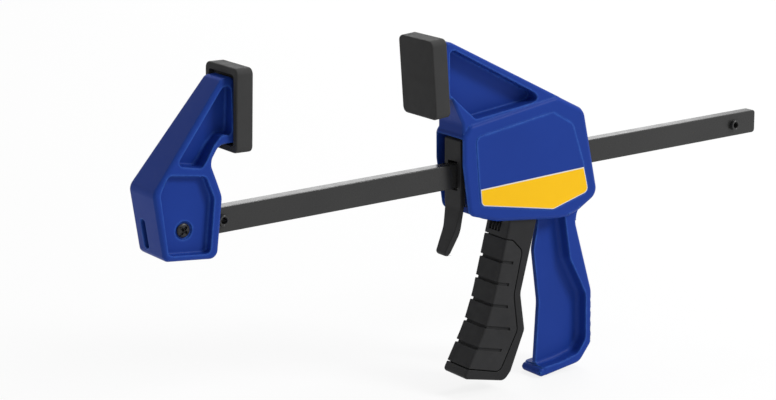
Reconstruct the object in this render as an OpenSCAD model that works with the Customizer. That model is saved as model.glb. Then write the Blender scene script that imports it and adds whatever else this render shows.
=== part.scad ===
// One-handed quick release bar clamp.
// X runs along the bar to its free end, Z is up and Y = 0 is the clamp's middle plane.
// X = 0 is the middle of the fixed pad's face and Z = 0 is the underside of the bar.

/* [Bar] */
// Length of the bar
bar_len = 364; // [330:1:600]
// Height of the bar
bar_h = 12; // [11:0.25:14]
// Thickness of the bar
bar_t = 6; // [5:0.1:7]
// Radius of the bar's corners at its ends
bar_corner = 1.2; // [0.4:0.1:3]
// Distance from the bar's free end to its stop pin
end_pin_inset = 15.5; // [8:0.5:40]
// Outside diameter of the stop pins
stop_pin_d = 4.6; // [3:0.1:5.4]
// Inside diameter of the hollow stop pins
stop_pin_bore = 2.6; // [1:0.1:2.8]
// Length of the stop pins across the bar
stop_pin_len = 10; // [8:0.5:16]

/* [Pads] */
// Gap between the pad faces as drawn
opening = 99.3; // [60:0.1:180]
// Depth from the bar's top edge to the top of the pads
throat = 63.5; // [58:0.5:75]
// Width of the pads across the clamp
pad_w = 27; // [24:0.5:34]
// Height of the pads
pad_h = 38; // [35:0.5:42]
// Thickness of the pads from face to back rim
pad_t = 8.6; // [7:0.1:11]
// Radius of the pads' corners
pad_corner = 3; // [1.5:0.1:5]
// Rounding of the pads' edges
pad_edge = 0.8; // [0.3:0.1:1.5]
// Depth of the cup in a pad's back
cup_depth = 3; // [2:0.1:4.5]
// Lean of the fixed pad towards the moving one, in degrees
fixed_toe = 2; // [0:0.1:3]
// Lean of the moving pad towards the fixed one, in degrees
moving_toe = 3.8; // [0:0.1:5]

/* [Fixed jaw] */
// Width of the fixed jaw at its foot
jaw_w = 23.4; // [21:0.1:24]
// Narrowing of the jaw's half width for each millimetre of height above its foot
jaw_draft = 0.077; // [0.04:0.001:0.09]
// Distance from the fixed pad's face back to the jaw's heel
jaw_reach = 50.8; // [46:0.1:60]
// Length of the jaw's foot along the bar
jaw_foot = 34.6; // [31.5:0.5:36]
// Depth of the jaw's foot below the bar
jaw_skirt = 9; // [6:0.1:12]
// Thickness of the jaw's web between its two upper pockets
jaw_web = 6; // [3:0.1:9]
// Depth of the pockets round the bar sleeve
foot_pocket = 3.8; // [1:0.1:4]
// Width of the jaw's ribs and flanges
jaw_rib = 3.4; // [2.5:0.1:4.2]
// Width of the slot in the jaw's heel
heel_slot_w = 4; // [2:0.1:5]
// Distance of that slot from the middle, towards the far side
heel_slot_y = 3.2; // [0:0.1:4]

/* [Jaw screw] */
// Distance from the jaw's heel to the screw
screw_inset = 16.8; // [13:0.1:21]
// Diameter of the screw's shank
screw_d = 4.2; // [3:0.1:5]
// Diameter of the screw's head
screw_head_d = 7.8; // [6.5:0.1:9.5]
// Width of the nut across its flats
nut_flats = 7; // [6:0.1:9]
// Thickness of the nut
nut_t = 2.6; // [1.5:0.1:3]

/* [Head] */
// Width of the head's housing
head_w = 23.6; // [22.6:0.1:27]
// Length of the housing along the bar
head_len = 80; // [78:0.5:86]
// Width of the arm that carries the moving pad
arm_w = 20.7; // [19:0.1:22]
// Thickness of the arm's web between its two pockets
arm_web = 6; // [3:0.1:9]
// Width of the handle's rim and foot
handle_w = 15.6; // [12:0.1:17]
// Thickness of the handle's web
handle_web = 4.2; // [3:0.1:5]
// Length of the handle below the bar
handle_len = 105.5; // [100:0.5:125]
// Thickness of the handle's foot
handle_foot = 3.2; // [2:0.1:5]
// Thickness of the housing's walls beside the release lever
hood_wall = 2.2; // [2:0.1:3.4]
// Half width of the cavity that holds the mechanism
cavity_half = 9.4; // [9.2:0.1:9.8]
// Thickness of the side plates
plate_t = 1; // [0.6:0.1:1.2]
// Step from the housing's border down to a side plate's face
plate_sink = 0.2; // [0.1:0.05:0.3]
// Height of the yellow stripe's top edge above the bar's underside
stripe_top = 0.6; // [-2:0.1:4]
// Thickness of the stripe
stripe_t = 0.2; // [0.1:0.05:0.3]

/* [Trigger] */
// Width of the trigger
trigger_w = 18; // [16:0.1:18.2]
// Thickness of the trigger's side walls
trigger_wall = 3.6; // [2.8:0.1:4.4]
// Thickness of the trigger's front wall
trigger_front = 4; // [3:0.1:5]
// Thickness of the soft grip
grip_t = 1.6; // [1.2:0.1:2]
// Number of grooves across the grip
groove_count = 5; // [3:1:6]
// Width of a groove
groove_w = 1.1; // [0.6:0.1:1.6]
// Depth of a groove
groove_depth = 0.8; // [0.4:0.1:1]
// Distance from one groove to the next
groove_pitch = 11.4; // [8:0.1:12]
// Diameter of the pivot pin
pivot_d = 4; // [3:0.1:5]
// Height of the pivot above the bar's top edge
pivot_rise = 7; // [6.5:0.1:8]

/* [Drive and brake] */
// Thickness of the drive plate
drive_t = 3; // [2:0.1:4]
// Width of the drive plate
drive_w = 16; // [14:0.1:17]
// Wire diameter of the drive spring
drive_wire = 1.3; // [0.9:0.1:1.4]
// Turns of the drive spring
drive_turns = 5; // [3:1:6]
// Width of the release lever
lever_w = 13.6; // [12:0.1:15]
// Width of the release lever at its tip
lever_tip_w = 6.8; // [5:0.1:10]
// Thickness of the release lever's moulding
lever_t = 2.4; // [1.8:0.1:3]
// Thickness of the brake plate behind it
brake_t = 2.6; // [2:0.1:3]
// Wire diameter of the brake spring
brake_wire = 0.8; // [0.5:0.1:1]
// Turns of the brake spring
brake_turns = 4; // [3:1:5]

/* [Hidden] */

$fn = 48;
corner_steps = 4;      // chords in each rounded corner of an outline
edge_steps = 2;        // chords across each rounded edge
past = 1;              // how far a cutting tool runs past a face
run_gap = 0.05;        // radial clearance of the trigger on its pin
bar_gap = 0.15;        // clearance between the bar and the mouldings that guide it
grip_gap = 0.3;        // clearance of the gripping plates round the bar
seat_gap = 0.02;       // clearance of a piece that drops into its seat

pad_top = bar_h + throat;
pad_z = pad_top - pad_h / 2;
jaw_arch = pad_z - 14.2;                   // underside of the horn that carries the fixed pad
taper_z = bar_h + 4;                       // height at which the jaw's sides start to lean in
cup_w = max(jaw_w - 2 * jaw_draft * (jaw_arch - taper_z), arm_w) + 0.3;
cup_h = pad_h - 6;
cup_x = pad_t - cup_depth + 0.02;          // distance from a pad's face to the piece seated in its cup

jaw_heel = -jaw_reach;
jaw_front = jaw_heel + jaw_foot;
heel_wall = 3.8;                           // wall behind the bar's hidden end
bar_start = jaw_heel + heel_wall + 1;
bar_end = bar_start + bar_len;
end_pin_x = bar_end - end_pin_inset;
inner_pin_x = jaw_front + stop_pin_d / 2 + 2.6;
screw_x = jaw_heel + screw_inset;
screw_head_h = 2.4;
screw_seat_y = -jaw_w / 2 + foot_pocket;   // floor of the near pocket
nut_seat_y = jaw_w / 2 - foot_pocket;      // floor of the far pocket

bar_mid = bar_h / 2;
stripe_tilt = 1.4;                         // slope of the stripe's top edge, in degrees
stripe_drop = 40;                          // reach of the stripe's cutter below that edge

// ---- the head is drawn with the moving pad's face at x = 0 ----
house_front = 18;
house_rear = house_front + head_len;
house_low = -17.5;                         // housing's lower edge at the trigger's front
pivot_x = 50.5;
pivot_z = bar_h + pivot_rise;
eye_r = 4.8;                               // radius of the trigger's pivot eyes
nose_z = -6;                               // height at which the trigger pushes the drive plate
drive_x = pivot_x + eye_r + 0.3;           // front of the drive plate
cavity_front = 35;
cavity_rear = 78;
chamber_rear = 31.5;                       // back of the chamber that holds the release lever
lever_x = 20.6;                            // front face of the release lever
knuckle_r = 2.2;
knuckle_z = bar_h + 14.5;
knuckle_x = lever_x + lever_t;
brake_spring_z = -5.6;
brake_spring_r = 2.6;
tilt_room = 0.5;                           // room above the brake plate's top corner for its tilt
post_len = 2;                              // length of the post that centres the brake spring
drive_spring_r = 8.3;
channel_half = trigger_w / 2 - trigger_wall;
handle_base = -handle_len;
web_half = handle_web / 2;
toe_r = 1.7;                               // radius of the toe at the handle's lower end
recess_half = head_w / 2 - plate_t - plate_sink;

// Unit vector from a to b
function unit(a, b) = (b - a) / norm(b - a);
function turned(v, a) = [v[0] * cos(a) - v[1] * sin(a), v[0] * sin(a) + v[1] * cos(a)];
function left_of(v) = [-v[1], v[0]];
function at(p) = [p[0], p[1]];

// Distance from the middle of a pad's face to the floor of its cup at height z, for a pad that leans by toe
function seat_x(z, toe) = cup_x / cos(toe) - (z - pad_z) * tan(toe);

// Arc that rounds corner p between its neighbours a and b to radius r
function corner_arc(a, p, b, r) =
    let (u = unit(p, a), v = unit(p, b), turn = 180 - acos(u * v))
    turn < 0.1 ? [for (i = [0:corner_steps]) p + v * 0.01 * (i - corner_steps / 2)] :
    let (centre = p + (u + v) / norm(u + v) * r / cos(turn / 2),
         first = p + u * r * tan(turn / 2) - centre,
         sweep = turn * sign(cross(v, u)))
    [for (i = [0:corner_steps]) centre + turned(first, sweep * i / corner_steps)];

// Outline with every corner [x, z, radius] moved inwards by e, drawn anticlockwise
function inset(pts, e) =
    let (n = len(pts))
    [for (i = [0:n - 1])
        let (p = at(pts[i]), a = unit(at(pts[(i + n - 1) % n]), p), b = unit(p, at(pts[(i + 1) % n])),
             na = left_of(a), nb = left_of(b), q = p + (na + nb) * e / (1 + na * nb),
             r = pts[i][2] + (cross(a, b) > 0 ? -e : e))
        [q[0], q[1], max(r, 0.05)]];

// Points of an outline with its corners rounded
function ring(pts) =
    let (n = len(pts))
    [for (i = [0:n - 1])
        each corner_arc(at(pts[(i + n - 1) % n]), at(pts[i]), at(pts[(i + 1) % n]), pts[i][2])];

// Flat prism of an outline, thickness t, centred on its own plane
module slab(pts, t) {
    linear_extrude(t, center = true) polygon(ring(pts));
}

// The same prism with its edges rounded to radius e
module moulding(pts, t, e) {
    levels = [for (k = [0:edge_steps]) [e * (1 - sin(90 * k / edge_steps)), -t / 2 + e * (1 - cos(90 * k / edge_steps))],
              for (k = [edge_steps:-1:0]) [e * (1 - sin(90 * k / edge_steps)), t / 2 - e * (1 - cos(90 * k / edge_steps))]];
    n = len(pts) * (corner_steps + 1);
    last = len(levels) - 1;
    polyhedron(
        [for (l = levels) each [for (p = ring(inset(pts, l[0]))) [p[0], p[1], l[1]]]],
        [[for (i = [0:n - 1]) i],
         [for (i = [n - 1:-1:0]) last * n + i],
         for (k = [0:last - 1]) for (i = [0:n - 1])
             [k * n + i, (k + 1) * n + i, (k + 1) * n + (i + 1) % n, k * n + (i + 1) % n]]);
}

// Turns a flat shape upright, so that its plane is the clamp's XZ plane
module upright() {
    rotate([90, 0, 0]) children();
}

// Copies a shape to both sides of the middle plane
module both_sides() {
    children();
    mirror([0, 1, 0]) children();
}

// Round bar along Y, centred
module cross_pin(r, len) {
    rotate([90, 0, 0]) cylinder(h = len, r = r, center = true);
}

// Wire coil along X from x0 to x1
module coil(x0, x1, r, wire, turns) {
    sides = 6;
    per_turn = 16;
    n = turns * per_turn;
    pitch = (x1 - x0 - wire) / turns;
    polyhedron(
        [for (i = [0:n]) let (a = 360 * i / per_turn, x = x0 + wire / 2 + pitch * i / per_turn)
            for (k = [0:sides - 1]) let (b = 360 * k / sides, d = r + wire / 2 * cos(b))
                [x + wire / 2 * sin(b), d * cos(a), d * sin(a)]],
        [[for (k = [0:sides - 1]) k],
         [for (k = [sides - 1:-1:0]) n * sides + k],
         for (i = [0:n - 1]) for (k = [0:sides - 1])
             [i * sides + k, (i + 1) * sides + k, (i + 1) * sides + (k + 1) % sides, i * sides + (k + 1) % sides]]);
}

// ---------- bar and its pins ----------
module bar() {
    color("#26282b") difference() {
        upright() slab([[bar_start, 0, bar_corner], [bar_end, 0, bar_corner],
                        [bar_end, bar_h, bar_corner], [bar_start, bar_h, bar_corner]], bar_t);
        for (x = [inner_pin_x, end_pin_x])
            translate([x, 0, bar_mid]) cross_pin(stop_pin_d / 2, bar_t + past);
        translate([screw_x, 0, bar_mid]) cross_pin(screw_d / 2 + bar_gap, bar_t + past);
    }
}

module stop_pin(x) {
    color("#303236") translate([x, 0, bar_mid]) difference() {
        cross_pin(stop_pin_d / 2, stop_pin_len);
        cross_pin(stop_pin_bore / 2, stop_pin_len + past);
    }
}

module inner_stop_pin() { stop_pin(inner_pin_x); }
module end_stop_pin() { stop_pin(end_pin_x); }

// ---------- fixed jaw ----------
jaw_slope_x = -12.9;                       // top of the jaw's sloping back
jaw_top = pad_top - 4.5;
jaw_knee = bar_h + 13.3;                   // height at which the heel turns upright
jaw_throat = bar_h + 21.6;                 // narrowest place above the foot

function jaw_outline() = [
    [jaw_heel + 4.7, -jaw_skirt + 3, 3],
    [jaw_front - 2.6, -jaw_skirt, 4],
    [jaw_front + 1.2, bar_h + 7, 7],
    [jaw_front - 3.8, jaw_throat, 4],
    [jaw_front - 3.1, jaw_throat + 3, 4],
    [jaw_front + 0.8, jaw_arch, 4],
    [-seat_x(jaw_arch, fixed_toe), jaw_arch, 0.8],
    [-seat_x(jaw_top, fixed_toe), jaw_top, 0.8],
    [jaw_slope_x, jaw_top, 3],
    [jaw_heel, jaw_knee, 5]];

// Pocket above the rib that crosses the jaw
function jaw_upper_pocket() = [
    [jaw_heel + 12, bar_h + 24.1, 1.2],
    [jaw_front - 9.3, bar_h + 21.4, 1.8],
    [jaw_front - 6.6, jaw_arch - 5.9, 4],
    [jaw_front - 2.5, jaw_arch + 0.2, 4],
    [jaw_front + 2, jaw_arch + 4.5, 3],
    [-pad_t - 0.2, jaw_arch + 3.5, 0.6],
    [-pad_t + 1.2, jaw_top - jaw_rib, 0.8],
    [jaw_slope_x + 0.4, jaw_top - jaw_rib, 2]];

// Pocket round the bar's sleeve
function jaw_lower_pocket() = [
    [jaw_heel + 5.2 + jaw_rib / 2, -jaw_skirt + 2.3 + jaw_rib, 1.5],
    [jaw_front - 3.4 - jaw_rib, -jaw_skirt + jaw_rib - 0.1, 2],
    [jaw_front - jaw_rib - 0.5, bar_h + 7, 5],
    [jaw_front - 7.7, bar_h + 17.6, 1.5],
    [jaw_heel + 8.7, bar_h + 20.5, 2],
    [jaw_heel + jaw_rib + 0.4, bar_h + 13, 4]];

// End view of the jaw, upright at its foot and narrower towards its top
function jaw_face() =
    let (half = jaw_w / 2, half_high = half - jaw_draft * (jaw_top + 1 - taper_z))
    [[-half, -jaw_skirt, 1], [half, -jaw_skirt, 1], [half, taper_z, 20],
     [half_high, jaw_top + 1, 1], [-half_high, jaw_top + 1, 1], [-half, taper_z, 20]];

module fixed_jaw() {
    upper_depth = (jaw_w - jaw_web) / 2;
    color("#2340a0") difference() {
        intersection() {
            upright() slab(jaw_outline(), jaw_w + 2);
            rotate([90, 0, 90]) slab(jaw_face(), 4 * jaw_reach);
        }
        both_sides() {
            translate([0, -jaw_w / 2, 0]) upright() slab(jaw_upper_pocket(), 2 * upper_depth);
            translate([0, -jaw_w / 2, 0]) upright() slab(jaw_lower_pocket(), 2 * foot_pocket);
        }
        translate([bar_start - 1, -bar_t / 2 - bar_gap, -bar_gap])
            cube([jaw_foot + past, bar_t + 2 * bar_gap, bar_h + 2 * bar_gap]);
        translate([jaw_heel - past, heel_slot_y - heel_slot_w / 2, -2.2])
            cube([heel_wall + 2 * past, heel_slot_w, bar_h + 1]);
        translate([screw_x, 0, bar_mid]) {
            cross_pin(screw_d / 2 + bar_gap, jaw_w);
            translate([0, screw_seat_y, 0]) rotate([-90, 0, 0])
                cylinder(h = screw_head_h, r1 = screw_head_d / 2 + bar_gap, r2 = screw_d / 2 + bar_gap);
            translate([0, nut_seat_y + past, 0]) rotate([90, 0, 0])
                cylinder(h = nut_t + past, d = (nut_flats + 2 * bar_gap) / cos(30), $fn = 6);
        }
    }
}

module jaw_screw() {
    shank_end = nut_seat_y;
    color("#2b2b2e") translate([screw_x, screw_seat_y, bar_mid]) rotate([-90, 0, 0]) difference() {
        union() {
            cylinder(h = screw_head_h, r1 = screw_head_d / 2, r2 = screw_d / 2);
            cylinder(h = shank_end - screw_seat_y, r = screw_d / 2);
        }
        for (a = [45, 135]) rotate(a)
            translate([-screw_head_d / 3, -0.55, -past]) cube([screw_head_d * 2 / 3, 1.1, past + 1.2]);
    }
}

module jaw_nut() {
    color("#8b8e92") translate([screw_x, nut_seat_y, bar_mid]) rotate([90, 0, 0]) difference() {
        cylinder(h = nut_t, d = nut_flats / cos(30), $fn = 6);
        translate([0, 0, -past]) cylinder(h = nut_t + 2 * past, r = screw_d / 2 + seat_gap);
    }
}

// Soft pad with its face in the YZ plane, its back towards -X and a cup for the jaw's horn
module pad() {
    half_w = pad_w / 2;
    half_h = pad_h / 2;
    color("#3a3b3d") difference() {
        translate([-pad_t / 2, 0, 0]) rotate([90, 0, 90])
            moulding([[-half_w, -half_h, pad_corner], [half_w, -half_h, pad_corner],
                      [half_w, half_h, pad_corner], [-half_w, half_h, pad_corner]], pad_t, pad_edge);
        translate([-pad_t - past, -cup_w / 2, -cup_h / 2]) cube([cup_depth + past, cup_w, cup_h]);
    }
}

module fixed_pad() {
    translate([0, 0, pad_z]) rotate([0, fixed_toe, 0]) pad();
}

module moving_pad() {
    translate([opening, 0, pad_z]) mirror([1, 0, 0]) rotate([0, moving_toe, 0]) pad();
}

// ---------- moving head ----------
arm_top = pad_top - 3.7;
house_top = bar_h + 19.8;

function arm_outline() = [
    [seat_x(pad_z - 10, moving_toe), pad_z - 10, 1],
    [pad_t + 4.6, pad_z - 10.5, 2],
    [house_front + 1.6, bar_h + 20.5, 5],
    [house_front + 1.6, bar_h + 10, 1],
    [house_rear - 24, bar_h + 10, 1],
    [house_rear - 10.5, bar_h + 20.9, 6],
    [pad_t, arm_top + 3, 0.8],
    [pad_t, arm_top, 0.4],
    [seat_x(arm_top, moving_toe), arm_top, 0.8]];

function arm_pocket() = [
    [pad_t + 3, pad_z - 8, 2],
    [house_front + 9, bar_h + 23, 3],
    [house_rear - 31.5, bar_h + 27.8, 2.4],
    [pad_t + 6, arm_top - 3.4, 2],
    [pad_t + 3, arm_top - 3.4, 1]];

function house_outline() = [
    [house_front + 3.4, -12.6, 5],
    [house_front + 22, house_low - 0.2, 8],
    [house_rear - 20, house_low - 5, 4],
    [house_rear - 7.2, house_low - 5, 0.5],
    [house_rear - 6.8, house_low - 1.2, 5],
    [house_rear + 4.9, house_low + 4, 5],
    [house_rear - 5, bar_h + 17, 7],
    [house_rear - 23, house_top + 6.4, 4],
    [house_front + 4.5, house_top, 3],
    [house_front, bar_h + 14.5, 3],
    [house_front, bar_h + 1, 10]];

function plate_outline() = [
    [house_front + 10.8, -8.4, 3],
    [house_rear - 24.4, -17.2, 4],
    [house_rear - 1.6, -11.4, 3],
    [house_rear - 5.4, bar_h - 8, 8],
    [house_rear - 12.4, bar_h + 12.5, 5],
    [house_rear - 25, house_top + 0.1, 3],
    [house_front + 8, bar_h + 13.8, 3]];

function handle_outline() = [
    [house_rear - 26.6, handle_base, 2.2],
    [house_rear - 2, handle_base + 3.8, 4],
    [house_rear + 4.6, handle_base + 13, 3],
    [house_rear + 3.8, handle_base + 41.5, 8],
    [house_rear - 7, handle_base + 79, 12],
    [house_rear - 7, house_low + 4, 1],
    [house_rear - 24, house_low + 4, 1],
    [house_rear - 25.5, handle_base + 76, 8],
    [house_rear - 28, handle_base + 66, 10],
    [house_rear - 23.5, handle_base + 38, 20],
    [house_rear - 26.6, handle_base + 7, 1.6]];

// Pocket beside the handle's web, from its front edge to the rim
function handle_pocket() = [
    [house_rear - 34, handle_base + handle_foot - 1.1, 1],
    [house_rear - 4.6, handle_base + handle_foot + 4.7, 5],
    [house_rear + 2.8, handle_base + 15.1, 5],
    [house_rear + 2.2, handle_base + 39.5, 8],
    [house_rear - 9.6, handle_base + 58, 8],
    [house_rear - 13.8, handle_base + 69.5, 8],
    [house_rear - 14.8, house_low + 8, 1],
    [house_rear - 34, house_low + 8, 1]];

function cavity_outline() = [
    [cavity_front, -9, 2],
    [cavity_front + 8, -14.5, 2],
    [cavity_front + 10, house_low - 12, 1],
    [cavity_rear + 2, house_low - 12, 1],
    [cavity_rear + 2, -13, 2],
    [cavity_rear, -9, 2],
    [cavity_rear, bar_h + 13, 3],
    [cavity_front, bar_h + 13, 3]];

// Handle with a pocket on each side of its web and a rounded toe
module handle() {
    difference() {
        upright() slab(handle_outline(), handle_w);
        both_sides() translate([0, -handle_w / 2 - web_half, 0]) upright() slab(handle_pocket(), handle_w);
    }
    translate([house_rear - 26.1, 0, handle_base + toe_r]) cross_pin(toe_r, handle_w);
}

module head_body() {
    chamber_half = head_w / 2 - hood_wall;
    color("#2340a0") translate([opening, 0, 0]) {
        difference() {
            union() {
                upright() slab(arm_outline(), arm_w);
                upright() slab(house_outline(), head_w);
                handle();
            }
            both_sides() {
                translate([0, -arm_w / 2, 0]) upright() slab(arm_pocket(), arm_w - arm_web);
                translate([0, -head_w / 2, 0]) upright()
                    slab(inset(plate_outline(), -seat_gap), 2 * (plate_t + plate_sink));
                translate([cavity_rear - 21, -head_w / 2, -8]) cube([19, head_w / 2, bar_h + 16]);
            }
            difference() {
                upright() slab(cavity_outline(), 2 * cavity_half);
                translate([house_rear - 25, -web_half, house_low - 14]) cube([10, handle_web, 16]);
            }
            // chamber for the release lever, open at the front and below
            translate([house_front - 6, -chamber_half, -30])
                cube([chamber_rear - house_front + 6, 2 * chamber_half, knuckle_z + 30]);
            translate([knuckle_x, 0, knuckle_z]) cross_pin(knuckle_r + run_gap, 2 * chamber_half);
            translate([house_front - 2, -bar_t / 2 - bar_gap, -bar_gap])
                cube([head_len + 12, bar_t + 2 * bar_gap, bar_h + 2 * bar_gap]);
            translate([pivot_x, 0, pivot_z]) cross_pin(pivot_d / 2 + seat_gap, 2 * recess_half);
            for (i = [0:4]) translate([house_rear + 4.8, 0, handle_base + 15 + 6 * i]) cross_pin(0.7, handle_w + past);
        }
        // post that centres the brake spring
        translate([chamber_rear - post_len, 0, brake_spring_z]) rotate([0, 90, 0])
            cylinder(h = post_len + past, r = brake_spring_r - brake_wire - 0.3);
    }
}

module side_plate() {
    y = -recess_half - plate_t / 2;
    color("#24419c") translate([opening, y, 0]) upright() slab(plate_outline(), plate_t);
}

module stripe() {
    y = -recess_half - plate_t - stripe_t / 2;
    color("#f2b91a") translate([opening, y, 0]) upright() intersection() {
        slab(inset(plate_outline(), 0.6), stripe_t);
        translate([house_front, stripe_top, -past]) rotate(stripe_tilt)
            translate([-past, -stripe_drop, 0]) cube([head_len + 20, stripe_drop, 2 * past]);
    }
}

module left_side_plate() { side_plate(); }
module right_side_plate() { mirror([0, 1, 0]) side_plate(); }
module left_stripe() { stripe(); }
module right_stripe() { mirror([0, 1, 0]) stripe(); }

module pivot_pin() {
    color("#9a9da1") translate([opening + pivot_x, 0, pivot_z]) cross_pin(pivot_d / 2, 2 * recess_half - 0.2);
}

// ---------- trigger ----------
function trigger_outline() = [
    [pivot_x - 29.7, -95.4, 1.6],
    [pivot_x - 4.9, -101.3, 5],
    [pivot_x - 0.9, -97, 4],
    [pivot_x + 7, -76, 4],
    [pivot_x + 4, -58, 8],
    [pivot_x + 13, -22.4, 1],
    [pivot_x + 2, -13, 2],
    [pivot_x + 2, nose_z - 3, 1],
    [pivot_x + eye_r, nose_z - 1, 0.8],
    [pivot_x + eye_r, pivot_z + eye_r, eye_r - 0.1],
    [pivot_x - eye_r, pivot_z + eye_r, eye_r - 0.1],
    [pivot_x - eye_r, -8, 6],
    [pivot_x - 1.4, -20, 10],
    [pivot_x - 11.4, -58, 60],
    [pivot_x - 17, -73, 60]];

function grip_region() = [
    [pivot_x - 34, -88, 1],
    [pivot_x - 26.2, -90.2, 1],
    [pivot_x - 8.6, -95.4, 4],
    [pivot_x + 2.6, -76, 4],
    [pivot_x + 0.2, -58, 8],
    [pivot_x + 5.6, -36, 4],
    [pivot_x + 0.4, -30, 3],
    [pivot_x - 8, -27.6, 1],
    [pivot_x - 34, -21, 1]];

module trigger_blank() {
    upright() slab(trigger_outline(), trigger_w);
}

module grip_core() {
    upright() slab(inset(trigger_outline(), grip_t), trigger_w - 2 * grip_t);
}

module trigger() {
    color("#232426") translate([opening, 0, 0]) difference() {
        trigger_blank();
        difference() {
            upright() slab(grip_region(), trigger_w + past);
            grip_core();
        }
        // channel that swallows the handle's web
        upright() slab([[pivot_x - 40 + trigger_front, -120, 1], [pivot_x + 40, -120, 1], [pivot_x + 40, 60, 1],
                        [pivot_x - eye_r - 4, 60, 1], [pivot_x - eye_r - 4, -3.5, 1],
                        [pivot_x - 1.4 + trigger_front, -3.5, 1], [pivot_x - 1.4 + trigger_front, -20, 10],
                        [pivot_x - 11.4 + trigger_front, -58, 60], [pivot_x - 17 + trigger_front, -73, 60],
                        [pivot_x - 28.8 + trigger_front, -94.2, 2]], 2 * channel_half);
        translate([pivot_x, 0, pivot_z]) cross_pin(pivot_d / 2 + run_gap, trigger_w + past);
    }
}

module trigger_grip() {
    top_groove_z = -36.8;
    groove_slope = 14.5;
    color("#2a2b2d") translate([opening, 0, 0]) difference() {
        intersection() {
            trigger_blank();
            upright() slab(inset(grip_region(), 0.3), trigger_w + past);
        }
        grip_core();
        difference() {
            intersection() {
                for (i = [0:groove_count - 1])
                    translate([pivot_x - 20, -trigger_w / 2 - past, top_groove_z - groove_pitch * i])
                        rotate([0, groove_slope, 0])
                            translate([-30, 0, 0]) cube([60, trigger_w + 2 * past, groove_w]);
                upright() slab(inset(grip_region(), 4.7), trigger_w + 4 * past);
            }
            upright() slab(inset(trigger_outline(), groove_depth), trigger_w - 2 * groove_depth);
        }
    }
}

// ---------- drive and brake ----------
module drive_plate() {
    low = nose_z - 2;
    color("#8d9094") translate([opening + drive_x, 0, 0]) difference() {
        translate([0, -drive_w / 2, low]) cube([drive_t, drive_w, bar_h + 5 - low]);
        translate([-past, -bar_t / 2 - grip_gap, -grip_gap])
            cube([drive_t + 2 * past, bar_t + 2 * grip_gap, bar_h + 2 * grip_gap]);
    }
}

module drive_spring() {
    color("#a7abb0") translate([opening, 0, bar_mid])
        coil(drive_x + drive_t + seat_gap, cavity_rear - seat_gap, drive_spring_r - drive_wire / 2,
             drive_wire, drive_turns);
}

module brake_plate() {
    low = nose_z - 3;
    color("#7f8286") translate([opening, 0, 0]) difference() {
        union() {
            translate([knuckle_x, -lever_w / 2, low]) cube([brake_t, lever_w, knuckle_z - tilt_room - low]);
            translate([knuckle_x, 0, knuckle_z]) cross_pin(knuckle_r, lever_w);
        }
        translate([knuckle_x - past, -bar_t / 2 - grip_gap, -grip_gap * 2])
            cube([brake_t + 2 * past, bar_t + 2 * grip_gap, bar_h + 4 * grip_gap]);
    }
}

function lever_outline() = [
    [lever_x - 8.4, -33, 1.4],
    [lever_x - 4.6, -33, 1.6],
    [lever_x + lever_t - 1.2, -22, 14],
    [lever_x + lever_t, -10, 10],
    [lever_x + lever_t, knuckle_z - knuckle_r - 0.2, 0.5],
    [lever_x, knuckle_z - knuckle_r - 0.2, 1],
    [lever_x, -10, 10],
    [lever_x - 2, -20, 14]];

// Front view of the lever, narrower towards its tip
function lever_face() = [
    [-lever_tip_w / 2, -34, 2.6],
    [lever_tip_w / 2, -34, 2.6],
    [lever_w / 2, -5, 6],
    [lever_w / 2, pivot_z + 20, 1],
    [-lever_w / 2, pivot_z + 20, 1],
    [-lever_w / 2, -5, 6]];

module release_lever() {
    color("#232426") translate([opening, 0, 0]) difference() {
        intersection() {
            upright() slab(lever_outline(), lever_w);
            translate([lever_x, 0, 0]) rotate([90, 0, 90]) slab(lever_face(), 4 * lever_w);
        }
        translate([lever_x - past, -bar_t / 2 - 2 * grip_gap, -grip_gap * 3])
            cube([lever_t + 2 * past, bar_t + 4 * grip_gap, bar_h + 6 * grip_gap]);
    }
}

module brake_spring() {
    color("#a7abb0") translate([opening, 0, brake_spring_z])
        coil(knuckle_x + brake_t + seat_gap, chamber_rear - seat_gap, brake_spring_r - brake_wire / 2,
             brake_wire, brake_turns);
}

bar();
inner_stop_pin();
end_stop_pin();
fixed_jaw();
jaw_screw();
jaw_nut();
fixed_pad();
head_body();
left_side_plate();
right_side_plate();
left_stripe();
right_stripe();
moving_pad();
pivot_pin();
trigger();
trigger_grip();
drive_plate();
drive_spring();
brake_plate();
release_lever();
brake_spring();
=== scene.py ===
import math
import bpy
import bmesh
from mathutils import Matrix, Vector


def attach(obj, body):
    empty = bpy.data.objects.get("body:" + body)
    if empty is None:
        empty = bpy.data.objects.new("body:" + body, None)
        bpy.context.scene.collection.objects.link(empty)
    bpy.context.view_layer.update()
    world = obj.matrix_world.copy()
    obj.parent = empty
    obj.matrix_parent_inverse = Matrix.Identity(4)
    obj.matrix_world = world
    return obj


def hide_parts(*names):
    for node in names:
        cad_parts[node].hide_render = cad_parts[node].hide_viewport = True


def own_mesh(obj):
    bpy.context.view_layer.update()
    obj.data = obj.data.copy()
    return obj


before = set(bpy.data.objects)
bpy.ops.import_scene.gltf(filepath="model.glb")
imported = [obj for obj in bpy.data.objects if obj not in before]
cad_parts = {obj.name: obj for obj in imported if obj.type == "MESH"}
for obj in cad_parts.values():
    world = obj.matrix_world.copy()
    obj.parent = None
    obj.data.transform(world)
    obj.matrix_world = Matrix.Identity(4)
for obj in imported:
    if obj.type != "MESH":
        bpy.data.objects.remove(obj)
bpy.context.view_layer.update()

# Outlines are (x, z, corner radius) in millimetres, seen from the clamp's near side. The pads, the slot in
# the jaw's heel and the lever's face are drawn as (y, z, corner radius) and then turned.
# The sliding head's outlines are measured from the face of its own pad.
headAt = 99.3
padMiddle = 56.5
cornerSteps = 7
leastCorner = 0.25      # a shrunk outline keeps at least this radius
sides = (-1, 1)         # near side, far side
outside = 20            # cutters for pockets reach this far from the mid plane
boreReach = 14          # and those round the jaw's screw this far


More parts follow.
